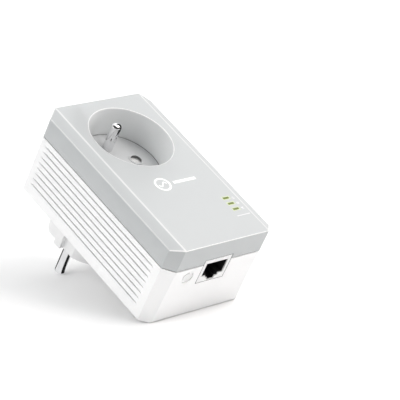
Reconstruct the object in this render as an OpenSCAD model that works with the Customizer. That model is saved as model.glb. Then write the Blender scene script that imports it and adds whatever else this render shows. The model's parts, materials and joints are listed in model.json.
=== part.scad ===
// Pass-through powerline adapter: a wall plug at the back, a grounded outlet
// at the front, a network socket and a pairing button at the lower end.
// Millimetres. The plug points to +Y, the outlet faces -Y, the outlet end is up (+Z).
// The origin is the middle of the plug's engagement face.

/* [Case] */
// Width of the case
case_w = 59; // [54:0.5:66]
// From the outlet axis to the upper end
case_up = 25.8; // [24:0.1:32]
// From the outlet axis to the lower end
case_down = 70.2; // [66:0.1:84]
// Depth of the front cover
cover_d = 12; // [11:0.5:14]
// Depth of the rear housing
housing_d = 30; // [28:0.5:34]
// Wall thickness of the case
wall = 2; // [1.6:0.1:2.4]
// Sideways size of the bevels and corner chamfers
bevel_w = 5; // [3:0.5:6]
// Depth of the long bevels on the front
bevel_d = 2; // [1:0.25:3]
// Lengthwise size of the corner chamfers
corner_l = 4.3; // [3:0.1:6]
// Width of the joint line between cover and housing
seam = 0.3; // [0.1:0.05:0.5]

/* [Vents] */
// Slots in each side
vent_count = 8; // [4:1:9]
// Distance between slots
vent_pitch = 3; // [2.5:0.25:3.5]
// Width of one slot
vent_w = 0.8; // [0.6:0.1:1.4]

/* [Outlet] */
// Radius of the outlet recess
recess_r = 19.6; // [19.5:0.05:20.5]
// Depth of the outlet recess
recess_d = 15.1; // [14.9:0.1:16]
// Distance of a contact hole from the axis
pole_x = 9.5; // [9.3:0.05:9.7]
// Radius of a contact hole
hole_r = 2.65; // [2.5:0.05:3]
// Distance of the earth pin from the axis
earth_z = 10; // [9.8:0.1:10.2]
// Radius of plug pins and earth pin
pin_r = 2.4; // [2.35:0.01:2.45]
// How far the earth pin's tip stays behind the front
earth_back = 1; // [0.8:0.1:3]

/* [Plug] */
// Height of the plug boss
boss_h = 18; // [15:0.5:20]
// Radius of the plug boss
boss_r = 18.9; // [18:0.1:19.3]
// Distance of the boss flats from the axis
boss_flat = 16.6; // [16:0.1:18]
// Free length of the plug pins
pin_len = 19; // [18.5:0.1:19.5]

/* [Network socket] */
// Sideways position of the network socket
jack_x = -0.4; // [-4:0.1:4]
// Width of the opening for a network plug
port_w = 12; // [11.8:0.1:12.3]
// Height of the opening for a network plug
port_h = 7.2; // [6.8:0.1:7.6]

/* [Pairing button] */
// Sideways position of the button
button_x = -15.5; // [-19:0.5:-13]
// Radius of the button cap
button_r = 2; // [1.6:0.1:2.4]

/* [Lights] */
// Sideways position of the three lights
light_x = 18.3; // [15:0.1:20]
// Height of the first light below the outlet axis
light_z = 46.8; // [42:0.1:50]
// Distance between lights
light_pitch = 3.6; // [3:0.1:5]

/* [Hidden] */
$fn = 64;
e = 0.01;
hw = case_w / 2;
y_face = 0;
y_back = -boss_h;
y_part = y_back - housing_d;
y_front = y_part - cover_d;
z_top = case_up;
z_bot = -case_down;
y_floor = y_front + recess_d;
y_board = y_part + 10.6;
board_t = 1.6;
y_power = y_back - 5.6;
jack_y0 = y_front + 9.5;
jack_y1 = y_front + 22.5;
port_y0 = y_front + 11.8;
port_y1 = port_y0 + port_h;
button_y = y_front + 17.3;
shank_r = pin_r - 0.2;
post_x = hw - 5.5;
post_zt = z_top - 6.2;
post_zb = z_bot + 6.8;

// ---------- helpers ----------

// block between two corners
module blk(x0, x1, y0, y1, z0, z1) {
  translate([x0, y0, z0])
    cube([x1 - x0, y1 - y0, z1 - z0]);
}

// round bar along Y
module ybar(x, z, r, y0, y1) {
  translate([x, y0, z])
    rotate([-90, 0, 0])
      cylinder(r = r, h = y1 - y0);
}

// round bar along Z
module zbar(x, y, r, z0, z1) {
  translate([x, y, z0])
    cylinder(r = r, h = z1 - z0);
}

// round bar along X
module xbar(y, z, r, x0, x1) {
  translate([x0, y, z])
    rotate([0, 90, 0])
      cylinder(r = r, h = x1 - x0);
}

// plate with its outline in X and Z, thickness along Y
module yplate(pts, y0, y1) {
  translate([0, y1, 0])
    rotate([90, 0, 0])
      linear_extrude(height = y1 - y0)
        polygon(pts);
}

// case outline: a rectangle with chamfered corners
function outline(w, zl, zh, cx, cz) = [
  [-w + cx, zl], [w - cx, zl], [w, zl + cz], [w, zh - cz],
  [w - cx, zh], [-w + cx, zh], [-w, zh - cz], [-w, zl + cz]
];

// outline moved in by an amount
function inset(d) = outline(hw - d, z_bot + d, z_top - d, bevel_w - 0.55 * d, corner_l - 0.55 * d);

// four screw posts
module at_posts() {
  for (p = [[-post_x, post_zt], [post_x, post_zt], [-post_x, post_zb], [post_x, post_zb]])
    translate([p[0], 0, p[1]])
      children();
}

// positions of the board screws: four for the main board, two for the power board
main_pts = [[-24, -27], [24, -27], [-24, -52], [24, -52]];
power_pts = [[-17, -27], [17, -63]];

// ---------- case ----------

module cover_solid() {
  intersection() {
    yplate(outline(hw, z_bot, z_top, bevel_w, corner_l), y_front, y_part - seam / 2);
    translate([0, 0, z_bot - 1])
      linear_extrude(height = z_top - z_bot + 2)
        polygon([
          [-hw + bevel_w, y_front], [hw - bevel_w, y_front], [hw, y_front + bevel_d],
          [hw, y_part], [-hw, y_part], [-hw, y_front + bevel_d]
        ]);
  }
}

module front_cover() {
  color([0.80, 0.81, 0.81])
  difference() {
    union() {
      difference() {
        cover_solid();
        yplate(inset(wall), y_front + 2.4, y_part + 1);
      }
      // lip that locates the two halves
      difference() {
        yplate(inset(wall + 0.2), y_part - 3, y_part + 1.6);
        yplate(inset(wall + 1.2), y_part - 4, y_part + 3);
        blk(jack_x - 9, jack_x + 9, y_part - 5, y_part + 4, z_bot - 1, z_bot + 6);
        blk(button_x - 4, button_x + 4, y_part - 5, y_part + 4, z_bot - 1, z_bot + 6);
        at_posts()
          ybar(0, 0, 3.8, y_part - 0.4, y_part + 4);
      }
      // round wall of the outlet recess
      ybar(0, 0, recess_r + 1.6, y_front + 1, y_floor);
      // posts that take the case screws
      at_posts()
        ybar(0, 0, 2.9, y_front + 2, y_part - seam / 2);
    }
    ybar(0, 0, recess_r, y_front - 1, y_floor + 1);
    at_posts()
      ybar(0, 0, 1.25, y_front + 4.5, y_part + 1);
    // openings for the three lights
    for (i = [0:2])
      blk(light_x - 1.7, light_x + 1.7, y_front - 1, y_front + 4,
        -light_z - i * light_pitch - 0.6, -light_z - i * light_pitch + 0.6);
    // opening for the network socket
    blk(jack_x - 8.25, jack_x + 8.25, jack_y0 - 0.25, y_part + 3, z_bot - 1, z_bot + 4);
  }
}

module vent(y) {
  yplate([
    [hw + 1, 19], [hw, 18.4], [hw - wall - 0.3, 15],
    [hw - wall - 0.3, -57.7], [hw, -62], [hw + 1, -62.6]
  ], y - vent_w / 2, y + vent_w / 2);
}

module rear_housing() {
  color([0.95, 0.95, 0.95])
  difference() {
    union() {
      difference() {
        intersection() {
          yplate(outline(hw, z_bot, z_top, bevel_w, corner_l), y_part + seam / 2, y_back);
          translate([-hw - 1, 0, 0])
            rotate([90, 0, 90])
              linear_extrude(height = case_w + 2)
                polygon([
                  [y_part, z_bot], [y_back - 1, z_bot + 0.3], [y_back, z_bot + 1.2],
                  [y_back, z_top - 1.7], [y_back - 1, z_top - 0.8], [y_part, z_top]
                ]);
        }
        yplate(inset(wall), y_part - 1, y_back - wall);
      }
      // posts for the case screws
      at_posts()
        ybar(0, 0, 3.4, y_part + seam / 2, y_back - 1);
      // posts for the boards
      for (p = main_pts)
        ybar(p[0], p[1], 2.2, y_board + board_t, y_back - 1);
      for (p = power_pts)
        ybar(p[0], p[1], 2.2, y_power + board_t, y_back - 1);
      // ribs that tie the vent strips together
      for (z = [-45, -21, 3])
        for (s = [-1, 1])
          blk(s * (hw - wall - 0.2) - 0.6, s * (hw - wall - 0.2) + 0.6,
            y_part + 1.7, y_back - 1, z - 0.6, z + 0.6);
    }
    at_posts() {
      ybar(0, 0, 1.5, y_part - 1, y_back);
      ybar(0, 0, 2.3, y_part + 4, y_back + 1);
    }
    for (p = main_pts)
      ybar(p[0], p[1], 0.85, y_board, y_board + 8);
    for (p = power_pts)
      ybar(p[0], p[1], 0.85, y_power, y_back - 0.8);
    for (i = [0:vent_count - 1]) {
      vent(y_part + 3 + i * vent_pitch);
      mirror([1, 0, 0])
        vent(y_part + 3 + i * vent_pitch);
    }
    // plug opening
    ybar(0, 0, boss_r + 0.15, y_back - wall - 1, y_back + 1);
    // network socket opening
    blk(jack_x - 8.25, jack_x + 8.25, y_part - 1, jack_y1 + 0.25, z_bot - 1, z_bot + 4);
    // button hole and the shallow dish around it
    zbar(button_x, button_y, button_r + 0.1, z_bot - 1, z_bot + 3);
    zbar(button_x, button_y, button_r + 1.1, z_bot - 1, z_bot + 0.7);
    // pocket for the rating label
    blk(-20.1, 20.1, y_back - 0.15, y_back + 1, -62.1, -27.9);
  }
}

module case_screws() {
  color([0.75, 0.75, 0.77])
  at_posts()
    difference() {
      union() {
        ybar(0, 0, 1.2, y_front + 5, y_part + 4.1);
        ybar(0, 0, 2.1, y_part + 4, y_part + 5.8);
      }
      blk(-1.3, 1.3, y_part + 4.9, y_part + 6, -0.25, 0.25);
      blk(-0.25, 0.25, y_part + 4.9, y_part + 6, -1.3, 1.3);
    }
}

module rating_label() {
  color([0.90, 0.90, 0.89])
  difference() {
    blk(-20, 20, y_back - 0.15, y_back - 0.02, -62, -28);
    for (s = [-1, 1])
      ybar(s * post_x, post_zb, 2.3, y_back - 1, y_back + 1);
  }
}

// ---------- outlet ----------

module socket_insert() {
  color([0.86, 0.86, 0.86])
  difference() {
    union() {
      ybar(0, 0, recess_r + 1.6, y_floor, y_floor + 2.5);
      difference() {
        ybar(0, 0, recess_r + 1.6, y_floor + 2, y_floor + 8.4);
        ybar(0, 0, recess_r - 0.2, y_floor + 1.9, y_floor + 9);
      }
      // pivot of the shutter
      ybar(0, 0, 1.5, y_floor + 2, y_floor + 4.6);
      // low rings around the contact holes
      for (s = [-1, 1])
        ybar(s * pole_x, 0, hole_r + 0.9, y_floor - 0.25, y_floor + 1);
    }
    for (s = [-1, 1])
      ybar(s * pole_x, 0, hole_r, y_floor - 1, y_floor + 3);
    ybar(0, earth_z, shank_r, y_floor - 1, y_floor + 3);
    ybar(0, earth_z, 3.4, y_floor + 1.5, y_floor + 3);
    // groove the shutter's pads swing in, close behind the recess floor
    difference() {
      ybar(0, 0, 13.3, y_floor + 1, y_floor + 3);
      ybar(0, 0, 5.7, y_floor, y_floor + 4);
      ybar(0, earth_z, 4.4, y_floor, y_floor + 4);
    }
  }
}

module shutter_arm() {
  yplate([[0, -2.2], [pole_x, -2.6], [pole_x, 2.6], [0, 2.2]], y_floor + 2.8, y_floor + 4.2);
  ybar(pole_x, 0, 3.3, y_floor + 1.3, y_floor + 4.2);
}

module socket_shutter() {
  color([0.88, 0.88, 0.88])
  difference() {
    union() {
      shutter_arm();
      rotate([0, 180, 0])
        shutter_arm();
      ybar(0, 0, 3.2, y_floor + 2.8, y_floor + 4.2);
      // peg the spring pushes on
      ybar(4.6, -1.2, 0.5, y_floor + 4, y_floor + 4.9);
    }
    ybar(0, 0, 1.56, y_floor + 2, y_floor + 6);
  }
}

module shutter_spring() {
  color([0.7, 0.7, 0.72])
  translate([0, y_floor + 4.85, 0])
    rotate([90, 0, 0]) {
      rotate_extrude()
        translate([2.4, 0])
          circle(r = 0.2, $fn = 24);
      translate([2.4, 0, 0])
        rotate([0, 90, -70])
          cylinder(r = 0.2, h = 3.2, $fn = 24);
      translate([-2.4, 0, 0])
        rotate([-90, 0, 25])
          cylinder(r = 0.2, h = 8, $fn = 24);
    }
}

module shutter_retainer() {
  color([0.84, 0.84, 0.83])
  difference() {
    union() {
      ybar(0, 0, recess_r - 0.3, y_floor + 5.6, y_floor + 7.4);
      ybar(-5.9, 8.1, 0.9, y_floor + 4.6, y_floor + 6);
    }
    for (s = [-1, 1])
      ybar(s * pole_x, 0, 3.3, y_floor + 5, y_floor + 8);
    ybar(0, earth_z, pin_r + 0.1, y_floor + 5, y_floor + 8);
    ybar(0, 0, 1.7, y_floor + 5, y_floor + 8);
  }
}

// rounded end of a mains pin, 1.6 mm high
module round_tip() {
  rotate_extrude()
    polygon([
      [0, 0], [pin_r, 0], [pin_r - 0.12, 0.55], [pin_r - 0.5, 1.05],
      [pin_r - 1.1, 1.45], [pin_r - 1.6, 1.6], [0, 1.6]
    ]);
}

module outlet_earth_pin() {
  color([0.82, 0.82, 0.84])
  union() {
    translate([0, y_front + earth_back + 1.6, earth_z])
      rotate([90, 0, 0])
        round_tip();
    ybar(0, earth_z, pin_r, y_front + earth_back + 1.6, y_floor);
    ybar(0, earth_z, shank_r, y_floor - 0.1, y_floor + 9.6);
    ybar(0, earth_z, 3.4, y_floor + 1.5, y_floor + 2.5);
  }
}

module contact(s) {
  y0 = y_floor + 7.6;
  difference() {
    union() {
      ybar(s * pole_x, 0, 3.1, y0, y0 + 10.3);
      blk(s * (pole_x + 3) - 3.2, s * (pole_x + 3) + 3.2, y0 + 9.5, y0 + 10.3, -5.5, 3);
    }
    ybar(s * pole_x, 0, pin_r, y0 - 1, y0 + 9);
    blk(s * pole_x - 0.5, s * pole_x + 0.5, y0 - 1, y0 + 7.5, -4, 4);
    ybar(s * pole_x, 0, 1.9, y0 + 8.5, y0 + 11);
  }
}

module live_contact() {
  color([0.80, 0.66, 0.36])
    contact(1);
}

module neutral_contact() {
  color([0.80, 0.66, 0.36])
    contact(-1);
}

// ---------- plug ----------

module plug_base() {
  color([0.94, 0.94, 0.94])
  difference() {
    union() {
      intersection() {
        ybar(0, 0, boss_r, y_back - 2.5, y_face);
        union() {
          blk(-boss_flat, boss_flat, y_back - 4, y_face + 1, -30, 30);
          blk(-30, 30, y_back - 4, y_face + 1, -2.2, 2.2);
        }
      }
      // foot behind the housing wall
      ybar(0, 0, boss_r, y_back - 4.6, y_back);
      ybar(0, 0, boss_r + 2.6, y_back - 4.6, y_back - wall);
    }
    for (s = [-1, 1]) {
      ybar(s * pole_x, 0, shank_r, y_back - 6, y_face + 1);
      ybar(s * pole_x, 0, pin_r + 0.05, y_face - 0.6, y_face + 1);
    }
    // entry for the wall outlet's earth pin
    ybar(0, earth_z, 2.75, y_face - 16.5, y_face + 1);
    ybar(0, earth_z, 3.5, y_back - 3.2, y_face - 6);
    // beds of the two earth clips
    for (s = [-1, 1])
      blk(-3.6, 3.6, y_back - 6, y_face + 1, s == 1 ? 17.2 : -20, s == 1 ? 20 : -17.2);
  }
}

module pole_pin(s) {
  y0 = y_floor + 17.9;
  ybar(s * pole_x, 0, 1.9, y0 - 1.2, y0 + 0.1);
  ybar(s * pole_x, 0, shank_r, y0, y_face + 0.1);
  ybar(s * pole_x, 0, pin_r, y_face, y_face + pin_len - 1.6);
  translate([s * pole_x, y_face + pin_len - 1.6, 0])
    rotate([-90, 0, 0])
      round_tip();
}

module live_pin() {
  color([0.82, 0.82, 0.84])
    pole_pin(1);
}

module neutral_pin() {
  color([0.82, 0.82, 0.84])
    pole_pin(-1);
}

module earth_clips() {
  color([0.83, 0.83, 0.84])
  union() {
    blk(-3.5, 3.5, y_back - 5.4, y_face - 1.5, 17.3, 18.1);
    blk(-3.5, 3.5, y_back - 5.4, y_face - 1.5, -18.1, -17.3);
    blk(-3.5, 3.5, y_back - 5.4, y_back - 4.7, -18.1, 18.1);
  }
}

module earth_sleeve() {
  color([0.80, 0.66, 0.36])
  difference() {
    ybar(0, earth_z, 3.5, y_back - 3.2, y_face - 6);
    ybar(0, earth_z, 2.75, y_back - 1.5, y_face + 1);
    blk(-0.3, 0.3, y_face - 14, y_face - 5.8, earth_z - 4, earth_z + 4);
  }
}

module earth_strap() {
  color([0.80, 0.66, 0.36])
  union() {
    difference() {
      blk(-3, 3, y_floor + 8.6, y_floor + 9.4, 6, 16.4);
      ybar(0, earth_z, shank_r, y_floor + 8, y_floor + 10);
    }
    blk(-3, 3, y_floor + 8.6, y_back - 5.4, 15.6, 16.4);
    blk(-3, 3, y_back - 6.2, y_back - 5.4, 12.5, 16.4);
  }
}

// wire with round elbows through a list of points
module wire(pts, r) {
  for (i = [0:len(pts) - 2]) {
    d = pts[i + 1] - pts[i];
    l = norm(d);
    translate(pts[i])
      rotate([0, acos(d[2] / l), atan2(d[1], d[0])])
        cylinder(r = r, h = l);
  }
  for (i = [1:len(pts) - 2])
    translate(pts[i])
      sphere(r = r * 1.15);
}

module live_wire() {
  color([0.42, 0.26, 0.18])
  wire([
    [12.8, y_floor + 16.1, -5.4], [12.8, y_floor + 14.6, -9],
    [12.8, y_floor + 14.6, -23], [12.8, y_power - 1.1, -26.5]
  ], 0.9);
}

module neutral_wire() {
  color([0.16, 0.30, 0.62])
  wire([
    [-12.8, y_floor + 16.1, -5.4], [-12.8, y_floor + 14.6, -9],
    [-12.8, y_floor + 14.6, -23], [-12.8, y_power - 1.1, -26.5]
  ], 0.9);
}

// ---------- main board ----------

module main_board() {
  color([0.10, 0.33, 0.20])
  difference() {
    blk(-hw + wall + 1, hw - wall - 1, y_board, y_board + board_t, -66.5, -23);
    at_posts()
      ybar(0, 0, 3.8, y_board - 1, y_board + 3);
    for (s = [-1, 1])
      blk(s == 1 ? post_x - 0.5 : -hw, s == 1 ? hw : -post_x + 0.5,
        y_board - 1, y_board + 3, -70, post_zb + 2.5);
    for (p = main_pts)
      ybar(p[0], p[1], 1.1, y_board - 1, y_board + 3);
  }
}

module board_screw(x, y, z) {
  difference() {
    union() {
      ybar(x, z, 0.8, y - 0.1, y + 4.7);
      ybar(x, z, 1.8, y - 1.2, y);
    }
    blk(x - 1.1, x + 1.1, y - 1.3, y - 0.5, z - 0.22, z + 0.22);
    blk(x - 0.22, x + 0.22, y - 1.3, y - 0.5, z - 1.1, z + 1.1);
  }
}

module board_screws() {
  color([0.75, 0.75, 0.77])
  union() {
    for (p = main_pts)
      board_screw(p[0], y_board, p[1]);
    for (p = power_pts)
      board_screw(p[0], y_power, p[1]);
  }
}

module jack_frame() {
  color([0.95, 0.95, 0.95])
  difference() {
    blk(jack_x - 7.85, jack_x + 7.85, jack_y0 + 0.15, jack_y1 - 0.15, z_bot + 0.05, z_bot + 0.6);
    blk(jack_x - port_w / 2 - 0.25, jack_x + port_w / 2 + 0.25, port_y0 - 0.1, port_y1 + 0.3,
      z_bot - 1, z_bot + 3);
    // steps for the latch of the network plug
    blk(jack_x - 3.7, jack_x + 3.7, port_y1 - 1, port_y1 + 1.5, z_bot - 1, z_bot + 3);
    blk(jack_x - 2.15, jack_x + 2.15, port_y1, port_y1 + 2.9, z_bot - 1, z_bot + 3);
  }
}

module rj45_jack() {
  color([0.07, 0.07, 0.07])
  difference() {
    blk(jack_x - 7.85, jack_x + 7.85, jack_y0 + 0.15, y_board, z_bot + 0.6, z_bot + 17.5);
    blk(jack_x - port_w / 2, jack_x + port_w / 2, port_y0, port_y1, z_bot - 1, z_bot + 15);
    blk(jack_x - 3.2, jack_x + 3.2, port_y1 - 1, port_y1 + 1.5, z_bot - 1, z_bot + 11);
    blk(jack_x - 1.9, jack_x + 1.9, port_y1, y_board - 0.4, z_bot - 1, z_bot + 8);
    // comb slots the contacts lie in
    for (i = [0:7])
      blk(jack_x - 3.57 + i * 1.02 - 0.3, jack_x - 3.57 + i * 1.02 + 0.3,
        port_y0 - 1.2, port_y0 + 1, z_bot + 4, z_bot + 15);
  }
}

module rj45_contacts() {
  color([0.86, 0.70, 0.32])
  for (i = [0:7])
    translate([jack_x - 3.57 + i * 1.02 - 0.2, 0, 0])
      rotate([90, 0, 90])
        linear_extrude(height = 0.4)
          polygon([
            [port_y0 - 0.9, z_bot + 4.4], [port_y0 - 0.5, z_bot + 4.4],
            [port_y0 + 2.1, z_bot + 14.2], [port_y0 + 2.1, z_bot + 15], [port_y0 + 1.7, z_bot + 15]
          ]);
}

module tact_switch() {
  color([0.15, 0.15, 0.16])
  difference() {
    blk(button_x - 3, button_x + 3, button_y - 2.8, y_board, z_bot + 6.3, z_bot + 10.2);
    zbar(button_x, button_y, 1.3, z_bot + 5, z_bot + 8.6);
  }
}

module switch_plunger() {
  color([0.70, 0.16, 0.13])
    zbar(button_x, button_y, 1.2, z_bot + 4.7, z_bot + 7.6);
}

module pair_button() {
  color([0.93, 0.93, 0.93])
  union() {
    zbar(button_x, button_y, button_r, z_bot + 0.25, z_bot + 2.4);
    zbar(button_x, button_y, button_r + 0.7, z_bot + 2.3, z_bot + 3.1);
    zbar(button_x, button_y, 1.2, z_bot + 3, z_bot + 4.7);
  }
}

module leds() {
  color([0.92, 0.90, 0.70])
  for (i = [0:2])
    blk(light_x - 0.8, light_x + 0.8, y_board - 0.8, y_board,
      -light_z - i * light_pitch - 0.5, -light_z - i * light_pitch + 0.5);
}

module light_pipe() {
  color([0.75, 0.88, 0.42])
  union() {
    for (i = [0:2])
      blk(light_x - 1.6, light_x + 1.6, y_front + 0.05, y_board - 1,
        -light_z - i * light_pitch - 0.5, -light_z - i * light_pitch + 0.5);
    blk(light_x - 2.4, light_x + 2.4, y_front + 4.2, y_front + 5.4,
      -light_z - 2 * light_pitch - 1.4, -light_z + 1.4);
  }
}

module processor() {
  color([0.10, 0.10, 0.11])
    blk(-13, 0, y_board - 1.1, y_board, -45, -32);
}

module heat_sink() {
  color([0.78, 0.79, 0.80])
  union() {
    blk(-13.5, 0.5, y_board - 2.4, y_board - 1.1, -45.5, -31.5);
    for (i = [0:5])
      blk(-13.5 + i * 2.6, -12.5 + i * 2.6, y_board - 5.9, y_board - 2.3, -45.5, -31.5);
  }
}

module memory_chip() {
  color([0.12, 0.12, 0.13])
    blk(4, 13, y_board - 1, y_board, -37, -31);
}

module lan_transformer() {
  color([0.09, 0.09, 0.10])
    blk(4, 13.5, y_board - 2.6, y_board, -49.5, -42);
}

module crystal() {
  color([0.80, 0.80, 0.82])
  union() {
    blk(-20, -16.5, y_board - 1.6, y_board, -43.5, -34.5);
    xbar(y_board - 0.8, -34.5, 0.8, -20, -16.5);
    xbar(y_board - 0.8, -43.5, 0.8, -20, -16.5);
  }
}

// ---------- power board ----------

module insulation_sheet() {
  color([0.85, 0.82, 0.70])
  difference() {
    blk(-20.4, 20.4, y_board + board_t + 0.3, y_board + board_t + 0.6, -66, -23.5);
    blk(-3.5, 14.5, y_board, y_board + 5, -33.5, -25);
  }
}

module board_header() {
  color([0.13, 0.13, 0.14])
  union() {
    blk(-2.5, 13.5, y_power - 2.6, y_power, -31.5, -28.5);
    for (i = [0:5])
      blk(-1 + i * 2.54, -0.4 + i * 2.54, y_board + board_t, y_power - 2.5, -30.3, -29.7);
  }
}

module power_board() {
  color([0.72, 0.60, 0.32])
  difference() {
    blk(-20, 20, y_power, y_power + board_t, -66.5, -24.5);
    for (p = power_pts)
      ybar(p[0], p[1], 1.1, y_power - 1, y_power + 3);
  }
}

module transformer_core() {
  color([0.20, 0.20, 0.22])
  difference() {
    blk(-8, 8, y_power - 10.4, y_power - 0.8, -54, -40);
    blk(-9, 9, y_power - 8.6, y_power - 2.6, -51.4, -42.6);
  }
}

module transformer_coil() {
  color([0.88, 0.76, 0.25])
  union() {
    blk(-7.2, 7.2, y_power - 8.4, y_power - 2.8, -51.2, -42.8);
    blk(-9.6, -8.2, y_power - 9.4, y_power, -52, -42);
    blk(8.2, 9.6, y_power - 9.4, y_power, -52, -42);
    blk(-8.3, 8.3, y_power - 7.6, y_power - 3.6, -50, -44);
  }
}

module bulk_capacitor() {
  color([0.13, 0.15, 0.20])
  union() {
    xbar(y_power - 5, -60.2, 4.8, -16, -1);
    xbar(y_power - 5, -60.2, 4.6, -1, -0.4);
  }
}

module film_capacitor() {
  color([0.86, 0.70, 0.16])
    blk(-18.5, -13, y_power - 10, y_power, -53, -40);
}

module varistor() {
  color([0.12, 0.26, 0.50])
  translate([-7, y_power - 5.2, -35.4])
    cylinder(r = 4.6, h = 3.4);
}

module fuse() {
  color([0.78, 0.78, 0.80])
  union() {
    zbar(17, y_power - 2, 1.6, -46, -38);
    zbar(17, y_power - 2, 1.9, -39.5, -36.5);
    zbar(17, y_power - 2, 1.9, -47.5, -44.5);
  }
}

module choke() {
  color([0.55, 0.32, 0.16])
  translate([14.6, 0, -55.4])
    rotate([90, 0, 0])
      translate([0, 0, -y_power])
        rotate_extrude()
          polygon([[0, 0], [4, 0], [4, 1.2], [3.2, 1.8], [3.2, 6.2], [4, 6.8], [4, 8], [0, 8]]);
}

module bridge_rectifier() {
  color([0.10, 0.10, 0.10])
    blk(1.5, 9, y_power - 2.6, y_power, -65, -58.5);
}

module coupling_transformer() {
  color([0.90, 0.78, 0.30])
  union() {
    blk(-1, 8, y_power - 7.5, y_power, -38.4, -33);
    blk(-1.8, 8.8, y_power - 1.6, y_power, -38.9, -32.5);
  }
}

front_cover();
rear_housing();
case_screws();
rating_label();
socket_insert();
socket_shutter();
shutter_spring();
shutter_retainer();
outlet_earth_pin();
live_contact();
neutral_contact();
plug_base();
live_pin();
neutral_pin();
earth_clips();
earth_sleeve();
earth_strap();
live_wire();
neutral_wire();
main_board();
board_screws();
rj45_jack();
jack_frame();
rj45_contacts();
tact_switch();
switch_plunger();
pair_button();
leds();
light_pipe();
processor();
heat_sink();
memory_chip();
lan_transformer();
crystal();
insulation_sheet();
board_header();
power_board();
transformer_core();
transformer_coil();
bulk_capacitor();
film_capacitor();
varistor();
fuse();
choke();
bridge_rectifier();
coupling_transformer();
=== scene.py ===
import bpy
import bmesh
import json
import math
from mathutils import Matrix, Vector


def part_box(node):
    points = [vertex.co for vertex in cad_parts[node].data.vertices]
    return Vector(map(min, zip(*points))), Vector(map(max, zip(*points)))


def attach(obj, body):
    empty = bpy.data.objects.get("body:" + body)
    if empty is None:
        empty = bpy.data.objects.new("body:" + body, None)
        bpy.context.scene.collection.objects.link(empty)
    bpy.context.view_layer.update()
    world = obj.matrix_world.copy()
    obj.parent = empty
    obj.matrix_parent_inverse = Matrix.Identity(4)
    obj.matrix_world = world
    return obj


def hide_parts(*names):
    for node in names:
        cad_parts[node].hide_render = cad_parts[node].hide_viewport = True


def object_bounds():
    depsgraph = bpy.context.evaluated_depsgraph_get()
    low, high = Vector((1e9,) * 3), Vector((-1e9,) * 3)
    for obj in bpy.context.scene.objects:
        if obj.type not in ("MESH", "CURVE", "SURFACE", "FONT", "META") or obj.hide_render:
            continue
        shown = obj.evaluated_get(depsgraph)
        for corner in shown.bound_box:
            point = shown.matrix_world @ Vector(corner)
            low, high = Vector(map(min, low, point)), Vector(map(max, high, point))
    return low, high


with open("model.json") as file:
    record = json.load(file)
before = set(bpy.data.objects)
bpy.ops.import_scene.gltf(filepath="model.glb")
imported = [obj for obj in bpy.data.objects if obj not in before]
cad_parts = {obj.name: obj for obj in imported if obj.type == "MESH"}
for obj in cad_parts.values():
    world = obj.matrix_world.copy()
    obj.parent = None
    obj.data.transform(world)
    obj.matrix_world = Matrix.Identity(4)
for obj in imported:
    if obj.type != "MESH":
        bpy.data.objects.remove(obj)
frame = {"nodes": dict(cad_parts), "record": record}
CAD_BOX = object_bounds()
NODES = frame["nodes"]
SCENE = bpy.context.scene
SCENE.view_settings.view_transform = "Standard"
MM = 0.001

# Places and sizes that come from the CAD, in metres in the row frame
COVER_LO, COVER_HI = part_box("front_cover")
HOUSE_LO, HOUSE_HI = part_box("rear_housing")
FRONT_Y = COVER_LO.y
BACK_Y = HOUSE_HI.y
HALF_W = HOUSE_HI.x
PARTING_Y = COVER_LO.y + 11.85 * MM
RECESS_R = 19.6 * MM
RECESS_FLOOR_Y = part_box("socket_insert")[0].y + 0.25 * MM
HOLE_X = 9.5 * MM
HOLE_R = 2.55 * MM
EARTH_PIN_R = 2.4 * MM
# the thickness of the printing on the front
INK = 0.012 * MM


# ---------- node helpers ----------

def new_mat(name):
    m = bpy.data.materials.new(name)
    m.use_nodes = True
    t = m.node_tree
    t.nodes.clear()
    out = t.nodes.new("ShaderNodeOutputMaterial")
    b = t.nodes.new("ShaderNodeBsdfPrincipled")
    t.links.new(b.outputs["BSDF"], out.inputs["Surface"])
    return m, t, b


def coords(t):
    return t.nodes.new("ShaderNodeTexCoord").outputs["Object"]


def noise(t, vec, scale, detail=2.0, rough=0.5):
    n = t.nodes.new("ShaderNodeTexNoise")
    n.inputs["Scale"].default_value = scale
    n.inputs["Detail"].default_value = detail
    n.inputs["Roughness"].default_value = rough
    t.links.new(vec, n.inputs["Vector"])
    return n.outputs["Fac"]


def ramp(t, fac, stops):
    r = t.nodes.new("ShaderNodeValToRGB")
    el = r.color_ramp.elements
    while len(el) < len(stops):
        el.new(0.5)
    for e, (p, c) in zip(el, stops):
        e.position = p
        e.color = (*c, 1.0) if len(c) == 3 else c
    t.links.new(fac, r.inputs["Fac"])
    return r.outputs["Color"]


def spread(t, fac, lo, hi):
    """The middle of a noise, stretched to the range lo to hi."""
    m = t.nodes.new("ShaderNodeMapRange")
    m.inputs["To Min"].default_value = lo
    m.inputs["To Max"].default_value = hi
    m.inputs["From Min"].default_value = 0.3
    m.inputs["From Max"].default_value = 0.7
    t.links.new(fac, m.inputs["Value"])
    return m.outputs["Result"]


def bump(t, b, height, strength, distance):
    n = t.nodes.new("ShaderNodeBump")
    n.inputs["Strength"].default_value = strength
    n.inputs["Distance"].default_value = distance
    t.links.new(height, n.inputs["Height"])
    t.links.new(n.outputs["Normal"], b.inputs["Normal"])


def grey(v):
    return (v, v, v)


def dot_with(t, vec, direction):
    n = t.nodes.new("ShaderNodeVectorMath")
    n.operation = "DOT_PRODUCT"
    n.inputs[1].default_value = direction
    t.links.new(vec, n.inputs[0])
    return n.outputs["Value"]


def mix_shaders(t, fac, a, b):
    n = t.nodes.new("ShaderNodeMixShader")
    t.links.new(fac, n.inputs["Fac"])
    t.links.new(a, n.inputs[1])
    t.links.new(b, n.inputs[2])
    return n.outputs["Shader"]


def shade(c, k):
    return tuple(min(1.0, v * k) for v in c[:3])


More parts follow.
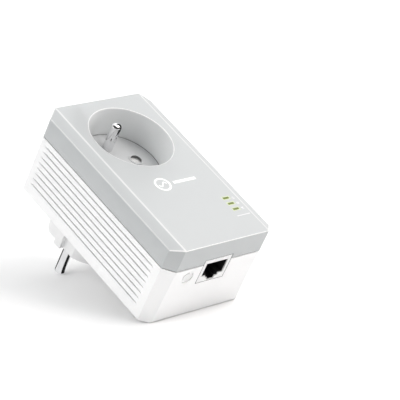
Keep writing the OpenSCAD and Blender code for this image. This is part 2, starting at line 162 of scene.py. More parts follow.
def stretch(t, vec, s):
    m = t.nodes.new("ShaderNodeMapping")
    m.inputs["Scale"].default_value = s
    t.links.new(vec, m.inputs["Vector"])
    return m.outputs["Vector"]


# ---------- materials ----------

def plastic(name, c, rough=0.45, grain=5200.0, depth=0.16, var=0.02, spec=0.5, coat=0.0, glow=None):
    """Moulded plastic: a fine etched grain, slow colour drift from the melt, uneven gloss."""
    m, t, b = new_mat(name)
    v = coords(t)
    slow = noise(t, v, 32.0, 3.0)
    col = ramp(t, slow, [(0.3, shade(c, 1 - var)), (0.7, shade(c, 1 + var))])
    t.links.new(col, b.inputs["Base Color"])
    t.links.new(spread(t, noise(t, v, 210.0, 3.0), rough - 0.05, rough + 0.05), b.inputs["Roughness"])
    b.inputs["Specular IOR Level"].default_value = spec
    if coat:
        b.inputs["Coat Weight"].default_value = coat
        b.inputs["Coat Roughness"].default_value = 0.12
    if glow:
        b.inputs["Emission Color"].default_value = (*glow[0], 1.0)
        b.inputs["Emission Strength"].default_value = glow[1]
    bump(t, b, noise(t, v, grain, 2.0), depth, 0.00004)
    return m


def metal(name, c, rough=0.16, lines=(400.0, 5200.0, 400.0), depth=0.10, var=0.05):
    """Plated or drawn metal: fine tool lines along one direction and faint handling marks."""
    m, t, b = new_mat(name)
    v = coords(t)
    fine = noise(t, stretch(t, v, lines), 1.0, 3.0)
    slow = noise(t, v, 420.0, 3.0)
    col = ramp(t, slow, [(0.3, shade(c, 1 - var)), (0.7, shade(c, 1 + var * 0.4))])
    t.links.new(col, b.inputs["Base Color"])
    b.inputs["Metallic"].default_value = 1.0
    t.links.new(spread(t, fine, rough - 0.04, rough + 0.05), b.inputs["Roughness"])
    bump(t, b, fine, depth, 0.00002)
    return m


def board(name, mask, track, hole):
    """Circuit board: solder mask with the raised pattern of tracks and plated holes under it."""
    m, t, b = new_mat(name)
    v = coords(t)
    br = t.nodes.new("ShaderNodeTexBrick")
    br.offset = 0.37
    br.inputs["Scale"].default_value = 520.0
    br.inputs["Mortar Size"].default_value = 0.05
    br.inputs["Color1"].default_value = (*mask, 1.0)
    br.inputs["Color2"].default_value = (*shade(mask, 0.86), 1.0)
    br.inputs["Mortar"].default_value = (*track, 1.0)
    turn = t.nodes.new("ShaderNodeMapping")
    turn.inputs["Rotation"].default_value = (math.pi / 2, 0.0, 0.0)
    t.links.new(v, turn.inputs["Vector"])
    t.links.new(turn.outputs["Vector"], br.inputs["Vector"])
    vo = t.nodes.new("ShaderNodeTexVoronoi")
    vo.inputs["Scale"].default_value = 380.0
    t.links.new(v, vo.inputs["Vector"])
    dots = ramp(t, vo.outputs["Distance"], [(0.10, (1, 1, 1)), (0.14, (0, 0, 0))])
    mix = t.nodes.new("ShaderNodeMix")
    mix.data_type = "RGBA"
    t.links.new(dots, mix.inputs["Factor"])
    t.links.new(br.outputs["Color"], mix.inputs["A"])
    mix.inputs["B"].default_value = (*hole, 1.0)
    t.links.new(mix.outputs["Result"], b.inputs["Base Color"])
    b.inputs["Roughness"].default_value = 0.32
    bump(t, b, br.outputs["Fac"], 0.4, 0.00004)
    return m


def winding(name, c, axis, pitch, rough=0.35):
    """Close turns of wire or tape: even ridges across one axis, the grooves between them darkened with
    painted shade.
    """
    m, t, b = new_mat(name)
    v = coords(t)
    w = t.nodes.new("ShaderNodeTexWave")
    w.bands_direction = axis
    w.inputs["Scale"].default_value = 1.0 / (pitch * 2 * math.pi) * 0.32
    w.inputs["Distortion"].default_value = 0.4
    t.links.new(v, w.inputs["Vector"])
    col = ramp(t, w.outputs["Fac"], [(0.0, shade(c, 0.55)), (0.6, c)])
    t.links.new(col, b.inputs["Base Color"])
    b.inputs["Roughness"].default_value = rough
    bump(t, b, w.outputs["Fac"], 0.5, 0.0001)
    return m


MATS = {
    "cover_grey": plastic("cover_grey", (0.512, 0.529, 0.534), 0.42, depth=0.10, var=0.008),
    "case_white": plastic("case_white", (0.94, 0.94, 0.94), 0.42, depth=0.10, var=0.006),
    "outlet_grey": plastic("outlet_grey", (0.53, 0.54, 0.545), 0.45, depth=0.08, var=0.008),
    "shutter_grey": plastic("shutter_grey", (0.80, 0.80, 0.79), 0.35, depth=0.06, var=0.01),
    "inner_plastic": plastic("inner_plastic", (0.62, 0.62, 0.58), 0.5, var=0.02),
    "plug_white": plastic("plug_white", (0.86, 0.86, 0.86), 0.40, depth=0.10, var=0.008),
    "button_white": plastic("button_white", (0.84, 0.84, 0.84), 0.36, depth=0.06, var=0.008),
    "jack_white": plastic("jack_white", (0.86, 0.86, 0.86), 0.28, depth=0.05, var=0.01, coat=0.2),
    "jack_black": plastic("jack_black", (0.012, 0.012, 0.013), 0.35, depth=0.08, var=0.05),
    "part_black": plastic("part_black", (0.022, 0.022, 0.025), 0.55, depth=0.25, var=0.08),
    "chip_black": plastic("chip_black", (0.028, 0.028, 0.03), 0.6, grain=9000.0, depth=0.3, var=0.06),
    "plunger_red": plastic("plunger_red", (0.45, 0.05, 0.04), 0.4),
    "led_body": plastic("led_body", (0.75, 0.72, 0.42), 0.2, coat=0.5,
                        glow=((0.5, 0.8, 0.1), 1.2)),
    "light_lens": plastic("light_lens", (0.13, 0.17, 0.03), 0.35, depth=0.05,
                          glow=((0.40, 0.55, 0.08), 0.07)),
    "ferrite": plastic("ferrite", (0.045, 0.045, 0.05), 0.7, grain=3000.0, depth=0.5, var=0.15),
    "varistor_blue": plastic("varistor_blue", (0.03, 0.10, 0.34), 0.35, grain=1400.0, depth=0.3,
                             coat=0.3),
    "film_yellow": plastic("film_yellow", (0.62, 0.42, 0.05), 0.3, coat=0.3, var=0.05),
    "cap_sleeve": plastic("cap_sleeve", (0.02, 0.03, 0.08), 0.22, grain=1800.0, coat=0.5, var=0.05),
    "wire_brown": plastic("wire_brown", (0.16, 0.06, 0.03), 0.35, coat=0.2),
    "wire_blue": plastic("wire_blue", (0.03, 0.09, 0.38), 0.35, coat=0.2),
    "label_silver": plastic("label_silver", (0.70, 0.70, 0.69), 0.36, grain=2600.0, depth=0.12,
                            var=0.02),
    "sheet_fibre": plastic("sheet_fibre", (0.55, 0.50, 0.36), 0.7, grain=1500.0, depth=0.5, var=0.1),
    "plated_pin": metal("plated_pin", (0.82, 0.82, 0.83), 0.08),
    "screw_steel": metal("screw_steel", (0.55, 0.55, 0.58), 0.28, (2600.0, 2600.0, 500.0)),
    "spring_steel": metal("spring_steel", (0.46, 0.46, 0.48), 0.25, (900.0, 900.0, 900.0)),
    "can_steel": metal("can_steel", (0.60, 0.60, 0.62), 0.22, (300.0, 300.0, 3600.0)),
    "fuse_metal": metal("fuse_metal", (0.62, 0.62, 0.64), 0.2, (300.0, 300.0, 3600.0)),
    "brass_strip": metal("brass_strip", (0.72, 0.50, 0.20), 0.25, (300.0, 300.0, 3600.0)),
    "gold_contact": metal("gold_contact", (0.86, 0.60, 0.22), 0.16, (3600.0, 300.0, 300.0)),
    "sink_aluminium": metal("sink_aluminium", (0.66, 0.67, 0.68), 0.35, (300.0, 300.0, 3600.0), 0.3),
    "board_green": board("board_green", (0.016, 0.13, 0.05), (0.03, 0.22, 0.09), (0.62, 0.60, 0.50)),
    "board_tan": board("board_tan", (0.42, 0.29, 0.10), (0.50, 0.38, 0.16), (0.62, 0.60, 0.52)),
    "tape_yellow": winding("tape_yellow", (0.72, 0.50, 0.06), "Y", 0.0012),
    "copper_wire": winding("copper_wire", (0.42, 0.16, 0.05), "Y", 0.0005, 0.28),
}

SLOT_OF = {s["node"]: s["material_slot"] for s in frame["record"]["subparts"]}
for n, o in NODES.items():
    o.data.materials.clear()
    o.data.materials.append(MATS[SLOT_OF[n]])

# looks for print, for the painted glow around the lights, for painted highlights on edges that catch
# the light, for painted light on the recess wall and for painted shade in narrow gaps
HALO = plastic("light_halo", (0.62, 0.68, 0.43), 0.42, depth=0.10, var=0.02)
PRINT_SOFT = plastic("print_soft", (0.74, 0.74, 0.75), 0.4, depth=0.10, var=0.01)
PRINT = plastic("print_white", (0.95, 0.95, 0.95), 0.4, grain=4200.0, depth=0.12, var=0.01)
EDGE_PAINTED_HIGHLIGHT = plastic("cover_edge_painted_highlight", (0.68, 0.69, 0.69), 0.34, depth=0.05, var=0.008)
EDGE_PAINTED_BRIGHT_HIGHLIGHT = plastic("cover_edge_painted_bright_highlight", (0.90, 0.90, 0.90), 0.34, depth=0.05, var=0.008)
RIM_PAINTED_HIGHLIGHT = plastic("rim_painted_highlight", (0.82, 0.82, 0.82), 0.30, depth=0.05, var=0.008)
SEAM_PAINTED_SHADE = plastic("seam_painted_shade", (0.16, 0.16, 0.16), 0.7, depth=0.05, var=0.02)
SEAM_PAINTED_DARK_SHADE = plastic("seam_painted_dark_shade", (0.10, 0.10, 0.10), 0.7, depth=0.05, var=0.02)
WELL_PAINTED_LIGHT = plastic("well_wall_painted_light", (0.78, 0.79, 0.79), 0.55, depth=0.05, var=0.008, spec=0.25)


# ---------- mesh helpers ----------

def to_object(bm, name, body, slot, mats=None, smooth=35.0, replaces=None):
    """Turns bm into a piece that rides on body; edges steeper than smooth degrees stay sharp."""
    me = bpy.data.meshes.new(name)
    bm.normal_update()
    for f in bm.faces:
        f.smooth = True
    for e in bm.edges:
        if len(e.link_faces) == 2 and e.calc_face_angle(0.0) > math.radians(smooth):
            e.smooth = False
    bm.to_mesh(me)
    bm.free()
    o = bpy.data.objects.new(name, me)
    SCENE.collection.objects.link(o)
    for m in mats or [MATS[slot]]:
        me.materials.append(m)
    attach(o, body)
    if replaces:
        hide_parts(*replaces)
    return o


def cad_copy(node):
    """A clean, editable copy of a CAD node's mesh: merged points, flat faces joined."""
    bm = bmesh.new()
    bm.from_mesh(NODES[node].data)
    bmesh.ops.remove_doubles(bm, verts=bm.verts, dist=1e-6)
    bmesh.ops.dissolve_limit(bm, angle_limit=math.radians(0.6), verts=bm.verts, edges=bm.edges)
    return bm


def round_edges(bm, test, radius, segments=3, mat=-1, min_angle=12.0):
    """Rounds the edges that test(a, b) picks, given the two ends of the edge."""
    picked = []
    for e in bm.edges:
        if len(e.link_faces) != 2 or e.calc_face_angle(0.0) < math.radians(min_angle):
            continue
        if test(e.verts[0].co, e.verts[1].co):
            picked.append(e)
    if picked:
        bmesh.ops.bevel(
            bm, geom=picked, offset=radius, offset_type="OFFSET", segments=segments,
            profile=0.5, affect="EDGES", clamp_overlap=False, material=mat, loop_slide=True)


def lathe(profile, at, steps=64, closed=False):
    """A shape turned about +Y through the point at; profile is (radius, height) points."""
    bm = bmesh.new()
    rings = []
    for r, h in profile:
        ring = []
        if r < 1e-7:
            ring.append(bm.verts.new((at[0], at[1] + h, at[2])))
        else:
            for i in range(steps):
                a = 2 * math.pi * i / steps
                ring.append(bm.verts.new((at[0] + r * math.cos(a), at[1] + h, at[2] + r * math.sin(a))))
        rings.append(ring)
    pairs = list(zip(rings, rings[1:]))
    if closed:
        pairs.append((rings[-1], rings[0]))
    for a, b in pairs:
        for i in range(steps):
            j = (i + 1) % steps
            q = [a[i % len(a)], a[j % len(a)], b[j % len(b)], b[i % len(b)]]
            q = list(dict.fromkeys(q))
            if len(q) > 2:
                bm.faces.new(q)
    for ring in (rings[0], rings[-1]):
        if len(ring) > 1 and not closed:
            bm.faces.new(ring)
    bmesh.ops.recalc_face_normals(bm, faces=bm.faces)
    return bm


def dome(r, length, k=1.0, n=10):
    """Profile of a bar of this length whose far end is rounded; k flattens the round."""
    pts = [(r, 0.0)]
    for i in range(n + 1):
        a = math.pi / 2 * i / n
        pts.append((r * math.cos(a), length - r * k + r * k * math.sin(a)))
    pts[-1] = (0.0, length)
    return pts


def quarter(r, y, k, n=6):
    """A rounded rim from a bore of radius r up to the face at y, with radius k."""
    turns = [math.pi / 2 * i / n for i in range(n + 1)]
    return [(r + k - k * math.cos(a), y + k - k * math.sin(a)) for a in turns]


def flat_piece(name, polys, mat=PRINT):
    """Thin printed shapes, and pieces of painted light, on the front face; polys are lists of (x, z) in
    millimetres.
    """
    bm = bmesh.new()
    for poly in polys:
        top = [bm.verts.new((x * MM, FRONT_Y, z * MM)) for x, z in poly]
        low = [bm.verts.new((x * MM, FRONT_Y + 2.5 * INK, z * MM)) for x, z in poly]
        n = len(poly)
        bm.faces.new(top)
        bm.faces.new(low[::-1])
        for i in range(n):
            bm.faces.new([top[i], low[i], low[(i + 1) % n], top[(i + 1) % n]])
    bmesh.ops.recalc_face_normals(bm, faces=bm.faces)
    return to_object(bm, name, "case", "cover_grey", [mat], 30.0)


def arc_band(cx, cz, r0, r1, a0, a1, n=28):
    """A stretch of ring between two radii and two angles in degrees, as quads."""
    out = []
    for i in range(n):
        a = math.radians(a0 + (a1 - a0) * i / n)
        b = math.radians(a0 + (a1 - a0) * (i + 1) / n)
        out.append([
            (cx + r * math.cos(t), cz + r * math.sin(t))
            for r, t in ((r0, a), (r1, a), (r1, b), (r0, b))])
    return out


def bar(x0, x1, z0, z1):
    return [[(x0, z0), (x1, z0), (x1, z1), (x0, z1)]]


# ---------- case ----------

NEAR = 0.02 * MM
# the corner facets lie further out than this, and above or below these heights
FACET_X = 24.3 * MM
FACET_TOP_Z = 21.3 * MM
FACET_LOW_Z = -65.8 * MM
# the bevels around the front face lie within this depth and, at the two ends, past these heights
BEVEL_DEPTH = 2.1 * MM
BEVEL_TOP_Z = 25.0 * MM
BEVEL_LOW_Z = -69.0 * MM


def on(value, want):
    return abs(value - want) < NEAR


def outer_front(a, b):
    """Edges of the front face and of the long bevels, but not of the small openings."""
    if max(a.y, b.y) > COVER_LO.y + BEVEL_DEPTH:
        return False
    return (max(abs(a.x), abs(b.x)) > FACET_X or max(a.z, b.z) < BEVEL_LOW_Z
            or min(a.z, b.z) > BEVEL_TOP_Z)


def rim(a, b):
    """The edge of the outlet recess in the front face."""
    return all(on(p.y, FRONT_Y) and abs(math.hypot(p.x, p.z) - RECESS_R) < 0.1 * MM for p in (a, b))


def parting(a, b):
    """The outer edge of the cover where it meets the rear housing."""
    out = min(abs(a.x), abs(b.x)) > HALF_W - 0.05 * MM
    ends = all(p.z < COVER_LO.z + 0.3 * MM or p.z > COVER_HI.z - 0.3 * MM for p in (a, b))
    corner = all(abs(p.x) > FACET_X and (p.z > FACET_TOP_Z or p.z < FACET_LOW_Z) for p in (a, b))
    return on(a.y, PARTING_Y) and on(b.y, PARTING_Y) and (out or ends or corner)


def back_rim(a, b):
    """The outer edges of the housing's back."""
    return all(p.y > BACK_Y - 1.3 * MM and (abs(p.x) > 24 * MM or abs(p.z + 22 * MM) > 46 * MM)
               for p in (a, b))


# material indices on the cover: 0 the shell, 1 the edges with a painted highlight, 2 the lower edge
# with a brighter painted highlight, 3 the parting line in painted shade
cover = cad_copy("front_cover")
round_edges(cover, rim, 0.44 * MM, 4)
round_edges(cover, outer_front, 0.38 * MM, 3, 1)
# the edges along the lower end take the brighter painted highlight
for f in cover.faces:
    if f.material_index == 1 and f.calc_center_median().z < COVER_LO.z + 2.6 * MM:
        f.material_index = 2
round_edges(cover, parting, 0.22 * MM, 2, 3)
# the face stands back by the thickness of the ink, so that the printing stays inside the part
for v in cover.verts:
    v.co.y = max(v.co.y, FRONT_Y + INK)
to_object(cover, "cover_shell", "case", "cover_grey",
          [MATS["cover_grey"], EDGE_PAINTED_HIGHLIGHT, EDGE_PAINTED_BRIGHT_HIGHLIGHT, SEAM_PAINTED_SHADE], 30.0, ["front_cover"])

# the wall of the outlet recess, in a grey lightened with painted light, with its rounded rim in a
# painted highlight, and a dark ring of painted shade where the recess floor meets it
WELL_R = RECESS_R - 0.03 * MM
RIM_R = 0.42 * MM
top_y = FRONT_Y + INK + 0.001 * MM
liner = lathe(
    [(WELL_R, RECESS_FLOOR_Y - 0.02 * MM)] + quarter(WELL_R, top_y, RIM_R)
    + [(WELL_R + RIM_R + 0.06 * MM, top_y), (WELL_R + RIM_R + 0.06 * MM, RECESS_FLOOR_Y - 0.02 * MM)],
    (0.0, 0.0, 0.0), 144, closed=True)
# the rounded rim takes a pale painted highlight
for f in liner.faces:
    if f.calc_center_median().y < FRONT_Y + RIM_R * 0.9:
        f.material_index = 1
to_object(liner, "recess_wall", "case", "cover_grey", [WELL_PAINTED_LIGHT, RIM_PAINTED_HIGHLIGHT], 40.0)
# painted shade: a dark ring where the recess floor meets the wall
seam_in, seam_out = WELL_R - 0.28 * MM, WELL_R + 0.1 * MM
seam_top, seam_low = RECESS_FLOOR_Y - 0.03 * MM, RECESS_FLOOR_Y + 0.1 * MM
seam_shade = lathe([(seam_in, seam_top), (seam_out, seam_top), (seam_out, seam_low), (seam_in, seam_low)],
             (0.0, 0.0, 0.0), 144, closed=True)
to_object(seam_shade, "recess_seam_painted_shade", "case", "outlet_grey", [SEAM_PAINTED_DARK_SHADE], 30.0)

# smooth lips around the two contact holes, their bores dark grey with painted shade
for x, name in ((-HOLE_X, "hole_lip_left"), (HOLE_X, "hole_lip_right")):
    lip_top = RECESS_FLOOR_Y - 0.249 * MM
    lip_low = RECESS_FLOOR_Y + 0.95 * MM
    lip = lathe(
        [(HOLE_R, lip_low)] + quarter(HOLE_R, lip_top, 0.2 * MM, 4)
        + [(3.4 * MM, lip_top), (3.57 * MM, lip_top + 0.08 * MM),
           (3.6 * MM, RECESS_FLOOR_Y + 0.3 * MM), (3.6 * MM, lip_low)],
        (x, 0.0, 0.0), 64, closed=True)
    for f in lip.faces:
        c = f.calc_center_median()
        if math.hypot(c.x - x, c.z) < HOLE_R + 0.01 * MM:
            f.material_index = 1
    to_object(lip, name, "case", "outlet_grey", [MATS["outlet_grey"], SEAM_PAINTED_SHADE], 40.0)

house = cad_copy("rear_housing")
round_edges(house, back_rim, 0.4 * MM, 3)
to_object(house, "housing_shell", "case", "case_white", None, 30.0, ["rear_housing"])

# the dark gap between the network socket's frame and the housing, filled with dark bars of painted
# shade
lo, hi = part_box("jack_frame")
GAP = 0.4 * MM
gap_shade = bmesh.new()
for x0, x1, y0, y1 in (
        (lo.x - GAP, hi.x + GAP, lo.y - GAP, lo.y), (lo.x - GAP, hi.x + GAP, hi.y, hi.y + GAP),
        (lo.x - GAP, lo.x, lo.y, hi.y), (hi.x, hi.x + GAP, lo.y, hi.y)):
    cube = bmesh.ops.create_cube(gap_shade, size=1.0)["verts"]
    bmesh.ops.scale(gap_shade, vec=(x1 - x0, y1 - y0, 0.3 * MM), verts=cube)
    bmesh.ops.translate(gap_shade, vec=((x0 + x1) / 2, (y0 + y1) / 2, lo.z + 0.25 * MM), verts=cube)
to_object(gap_shade, "jack_gap_painted_shade", "case", "part_black", [SEAM_PAINTED_DARK_SHADE], 30.0)

# ---------- pins ----------

# the rounded tips are this much flatter than half a ball
TIP_FLAT = 0.66

for node, name in (("live_pin", "live_pin_bar"), ("neutral_pin", "neutral_pin_bar")):
    lo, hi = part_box(node)
    r = (hi.x - lo.x) / 2
    x = (hi.x + lo.x) / 2
    bm = lathe(dome(r, hi.y - lo.y, TIP_FLAT), (x, lo.y, (lo.z + hi.z) / 2))
    to_object(bm, name, "case", "plated_pin", None, 40.0, [node])

lo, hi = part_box("outlet_earth_pin")
bm = lathe([(p, -h) for p, h in dome(EARTH_PIN_R, hi.y - lo.y, TIP_FLAT)],
           (0.0, hi.y, (lo.z + hi.z) / 2))
to_object(bm, "outlet_earth_pin_bar", "case", "plated_pin", None, 40.0, ["outlet_earth_pin"])


# ---------- printing and painted glow on the front ---

# a plain ring with a wave through it, and a plain bar beside it
MARK_X, MARK_Z = -6.4, -31.3
WAVE_HALF, WAVE_STEPS, WAVE_THICK = 2.4, 24, 0.42


def wave_z(x):
    return MARK_Z + 1.1 * math.sin(x * 1.3)


wave = []
for i in range(WAVE_STEPS):
    a = WAVE_HALF * (2 * i / WAVE_STEPS - 1)
    b = WAVE_HALF * (2 * (i + 1) / WAVE_STEPS - 1)
    wave.append([(MARK_X + a, wave_z(a) - WAVE_THICK), (MARK_X + b, wave_z(b) - WAVE_THICK),
                 (MARK_X + b, wave_z(b) + WAVE_THICK), (MARK_X + a, wave_z(a) + WAVE_THICK)])
flat_piece("front_mark", arc_band(MARK_X, MARK_Z, 3.1, 4.1, 0, 360, 48) + wave)
flat_piece("front_bar", bar(-0.4, 12.6, -32.3, -30.7))
# icons beside the three lights, and the line under them
flat_piece("icon_power", arc_band(22.0, -47.6, 0.45, 0.68, 120, 420, 20)
           + bar(21.88, 22.12, -47.5, -46.7), PRINT_SOFT)
flat_piece("icon_line", arc_band(22.0, -51.0, 0.45, 0.68, 0, 360, 20)
           + bar(21.5, 22.5, -51.12, -50.88), PRINT_SOFT)
flat_piece("icon_network", bar(21.4, 22.6, -54.3, -53.7) + bar(21.88, 22.12, -54.8, -54.3)
           + bar(21.3, 22.7, -55.0, -54.8), PRINT_SOFT)
flat_piece("front_rule", bar(15.6, 23.2, -58.4, -57.95), PRINT_SOFT)
# painted light: the pale green that each light throws on the cover around its slot
LIGHT_LO, LIGHT_HI = [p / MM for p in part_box("light_pipe")]
slot_x = (LIGHT_LO.x + LIGHT_HI.x) / 2
SLOT_TOP, SLOT_PITCH, SLOT_HALF_X, SLOT_HALF_Z = 1.4, 3.6, 1.7, 0.6
HALO_HALF_X, HALO_HALF_Z = 2.2, 1.0
for i in range(3):
    z = LIGHT_HI.z - SLOT_TOP - SLOT_PITCH * i
    x0, x1 = slot_x - HALO_HALF_X, slot_x + HALO_HALF_X
    flat_piece("light_halo_%d" % i, bar(x0, x1, z + SLOT_HALF_Z, z + HALO_HALF_Z)
               + bar(x0, x1, z - HALO_HALF_Z, z - SLOT_HALF_Z)
               + bar(x0, slot_x - SLOT_HALF_X, z - SLOT_HALF_Z, z + SLOT_HALF_Z)
               + bar(slot_x + SLOT_HALF_X, x1, z - SLOT_HALF_Z, z + SLOT_HALF_Z), HALO)

# ---------- camera, floor and light ----------

# the camera's directions in the row frame: right, down and forward
ROW0 = Vector((0.720943, -0.35036153, -0.597903))
ROW1 = Vector((-0.16659503, 0.74985676, -0.64028192))
ROW2 = Vector((0.67267176, 0.56121443, 0.48223549))
CENTRE = Vector((0.0, -0.03, -0.02))
cam = bpy.data.cameras.new("photo_camera")
cam.sensor_width = 36.0
cam.lens = 176.684
cam.clip_start = 0.01
cam_o = bpy.data.objects.new("photo_camera", cam)
SCENE.collection.objects.link(cam_o)
basis = Matrix((ROW0, -ROW1, -ROW2)).transposed().to_4x4()
cam_o.matrix_world = Matrix.Translation((-0.560998, -0.531881, -0.450082)) @ basis
SCENE.camera = cam_o

# The adapter leans on its pin tips and on the lower edge of its back
EDGE = Vector((0.0, BACK_Y, HOUSE_LO.z + 1.25 * MM))
TIP = Vector((0.0, CAD_BOX[1][1] - 0.9 * MM, -2.35 * MM))
along = (TIP - EDGE).normalized()
UP = along.cross(Vector((1.0, 0.0, 0.0))).normalized()
if UP.y > 0:
    UP = -UP


def floor_mat():
    m, t, b = new_mat("studio_floor")
    v = coords(t)
    col = ramp(t, noise(t, v, 3.0, 3.0), [(0.3, grey(0.97)), (0.7, grey(0.99))])
    b.inputs["Roughness"].default_value = 0.9
    b.inputs["Specular IOR Level"].default_value = 0.0
    # the bounce on the adapter is kept a little below what the camera sees
    path = t.nodes.new("ShaderNodeLightPath")
    seen = t.nodes.new("ShaderNodeMix")
    seen.data_type = "RGBA"
    t.links.new(path.outputs["Is Diffuse Ray"], seen.inputs["Factor"])
    t.links.new(col, seen.inputs["A"])
    seen.inputs["B"].default_value = (*grey(0.88), 1.0)
    t.links.new(seen.outputs["Result"], b.inputs["Base Color"])
    # painted light: a glow that only the camera sees makes the floor fade to white away from the
    # adapter
    away = t.nodes.new("ShaderNodeVectorMath")
    away.operation = "DISTANCE"
    away.inputs[1].default_value = CENTRE
    t.links.new(v, away.inputs[0])
    glow = ramp(t, away.outputs["Value"], [(0.08, grey(0.0)), (0.20, grey(0.10)), (0.60, grey(0.30))])
    lift = t.nodes.new("ShaderNodeMath")
    lift.operation = "MULTIPLY"
    t.links.new(path.outputs["Is Camera Ray"], lift.inputs[0])
    t.links.new(glow, lift.inputs[1])
    b.inputs["Emission Color"].default_value = (*grey(1.0), 1.0)
    t.links.new(lift.outputs["Value"], b.inputs["Emission Strength"])
    # from below the floor is clear
    geo = t.nodes.new("ShaderNodeNewGeometry")
    clear = t.nodes.new("ShaderNodeBsdfTransparent")
    out = next(n for n in t.nodes if n.type == "OUTPUT_MATERIAL")
    t.links.new(mix_shaders(t, geo.outputs["Backfacing"], b.outputs["BSDF"], clear.outputs["BSDF"]),
                out.inputs["Surface"])
    return m


FLOOR_HALF = 6.0
side = UP.cross(along).normalized()
base = EDGE - UP * 0.02 * MM
bm = bmesh.new()
corners = [base + (along * p + side * q) * FLOOR_HALF
           for p, q in ((-1, -1), (1, -1), (1, 1), (-1, 1))]
f = bm.faces.new([bm.verts.new(c) for c in corners])
bm.normal_update()
if f.normal.dot(UP) < 0:
    f.normal_flip()
me = bpy.data.meshes.new("studio_floor")
bm.to_mesh(me)
bm.free()
me.materials.append(floor_mat())
floor = bpy.data.objects.new("studio_floor", me)
SCENE.collection.objects.link(floor)

world = bpy.data.worlds.new("studio")
SCENE.world = world
world.use_nodes = True
wt = world.node_tree
around = wt.nodes.new("ShaderNodeTexCoord").outputs["Generated"]


def background(color=None):
    """A background shader, of the colour output it is given or else white."""
    n = wt.nodes.new("ShaderNodeBackground")
    if color:
        wt.links.new(color, n.inputs["Color"])
    else:
        n.inputs["Color"].default_value = (*grey(1.0), 1.0)
    return n.outputs["Background"]


# the far end of the studio is dark, as behind a camera; in reflections its edge is sharper
behind = dot_with(wt, around, -ROW2)
soft = ramp(wt, behind, [(0.0, grey(0.86)), (0.25, grey(1.08)), (0.4, grey(1.08)),
                         (0.92, (0.04, 0.05, 0.06))])
dark = ramp(wt, behind, [(0.62, grey(1.05)), (0.75, grey(0.03))])
# the studio is dimmer above and to the right, so that the white case keeps its shape from there
dim = ramp(wt, dot_with(wt, around, (0.70, 0.10, 0.70)), [(0.1, grey(1.0)), (0.6, grey(0.76))])
both = wt.nodes.new("ShaderNodeVectorMath")
both.operation = "MULTIPLY"
wt.links.new(soft, both.inputs[0])
wt.links.new(dim, both.inputs[1])
# the camera itself sees plain white
rays = wt.nodes.new("ShaderNodeLightPath").outputs
lit = mix_shaders(wt, rays["Is Glossy Ray"], background(both.outputs["Vector"]), background(dark))
wt.links.new(mix_shaders(wt, rays["Is Camera Ray"], lit, background()),
             wt.nodes["World Output"].inputs["Surface"])


def area(name, at, size, power, color=(1.0, 1.0, 1.0)):
    """A soft rectangular light that faces the adapter."""
    d = bpy.data.lights.new(name, "AREA")
    d.shape = "RECTANGLE"
    d.size, d.size_y = size
    d.energy = power
    d.color = color
    o = bpy.data.objects.new(name, d)
    SCENE.collection.objects.link(o)
    o.location = at
    o.rotation_euler = (CENTRE - at).to_track_quat("-Z", "Y").to_euler()


area("soft_top", CENTRE + UP * 0.9 + Vector((0.30, 0.0, 0.0)), (0.8, 0.8), 1.6)
area("soft_front", Vector((0.15, -0.43, -0.068)), (0.26, 0.26), 0.83, (1.0, 0.955, 0.93))
area("soft_low", Vector((0.26, -0.66, -0.72)), (0.4, 0.3), 0.75)
area("soft_left", Vector((-0.84, -0.50, 0.24)), (0.7, 0.7), 3.3)


def flag(name, corners, glow=0.0, diffuse=False):
    """A card, as a studio uses to draw edges on chrome: dark unless it glows. Only reflections
    see it, or with diffuse only the diffuse light."""
    me = bpy.data.meshes.new(name)
    me.from_pydata([tuple(c) for c in corners], [], [tuple(range(len(corners)))])
    o = bpy.data.objects.new(name, me)
    SCENE.collection.objects.link(o)
    m, t, b = new_mat(name)
    b.inputs["Base Color"].default_value = (0.01, 0.01, 0.01, 1.0)
    b.inputs["Roughness"].default_value = 0.9
    b.inputs["Emission Color"].default_value = (1.0, 1.0, 1.0, 1.0)
    b.inputs["Emission Strength"].default_value = glow
    me.materials.append(m)
    o.visible_camera = False
    o.visible_diffuse = diffuse
    o.visible_glossy = not diffuse
    o.visible_shadow = False
    o.visible_transmission = False


NEUTRAL_LO, NEUTRAL_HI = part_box("neutral_pin")
PIN_X = (NEUTRAL_LO.x + NEUTRAL_HI.x) / 2


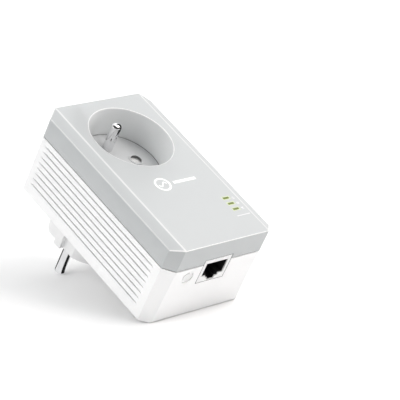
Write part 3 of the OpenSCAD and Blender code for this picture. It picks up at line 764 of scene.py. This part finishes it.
def on_floor(x, z):
    """The point of the floor at this x and z, lifted a little off it."""
    y = TIP.y + (z - TIP.z) * along.y / along.z
    return Vector((x, y, z)) + UP * 0.4 * MM


def fan(*spokes):
    """Points on the floor at these (x, z) offsets from the foot of the plug pin that shows."""
    return [on_floor(PIN_X + x, z) for x, z in spokes]


# a black card beside the camera takes some light off the corner that faces it
toward = (-ROW2 - UP * 0.12).normalized()
across = UP.cross(toward).normalized() * 0.13
middle = Vector((-0.03, -0.05, -0.07)) + toward * 0.20
flag("black_card", [middle - across - UP * 0.06, middle + across - UP * 0.06,
                    middle + across + UP * 0.13, middle - across + UP * 0.13], 0.0, True)

# three cards around the tip of the outlet's earth pin draw the dark shapes in its polish
TIP_LEFT, TIP_RIGHT, TIP_UNDER, TIP_OVER = -0.012, 0.022, -0.004, 0.026
TIP_NEAR, TIP_FAR = -0.061, -0.10
flag("flag_tip_left", [Vector((TIP_LEFT, y, z)) for y, z in (
    (TIP_NEAR, TIP_UNDER), (TIP_NEAR, TIP_OVER), (TIP_FAR, TIP_OVER), (TIP_FAR, TIP_UNDER))])
flag("flag_tip_low", [Vector((x, y, TIP_UNDER)) for x, y in (
    (TIP_LEFT, TIP_NEAR), (TIP_RIGHT, TIP_NEAR), (TIP_RIGHT, TIP_FAR), (TIP_LEFT, TIP_FAR))])
# this one stands where a flat tip would mirror the camera's line of sight
glint = Vector((0.0, FRONT_Y, 0.0)) + Vector((ROW2.x, -ROW2.y, ROW2.z)) * 0.02
flag("flag_tip_middle", [glint + ROW0 * u + ROW1 * v for u, v in (
    (-0.013, -0.03), (0.013, -0.03), (0.013, 0.03), (-0.013, 0.03))])

# three cards on the floor, the white one under the dark ones, draw the bands on the plug pin
flag("flag_near", fan((0.0, 0.0), (-0.023, -0.066), (0.061, -0.066)))
flag("flag_far", fan((0.0, 0.0), (0.089, 0.064), (-0.042, 0.091)))
flag("card_white", [c - UP * 0.25 * MM for c in fan(
    (0.02, -0.01), (0.02, 0.03), (0.0, 0.07), (-0.07, 0.07), (-0.07, -0.04), (0.0, -0.03))], 0.9)
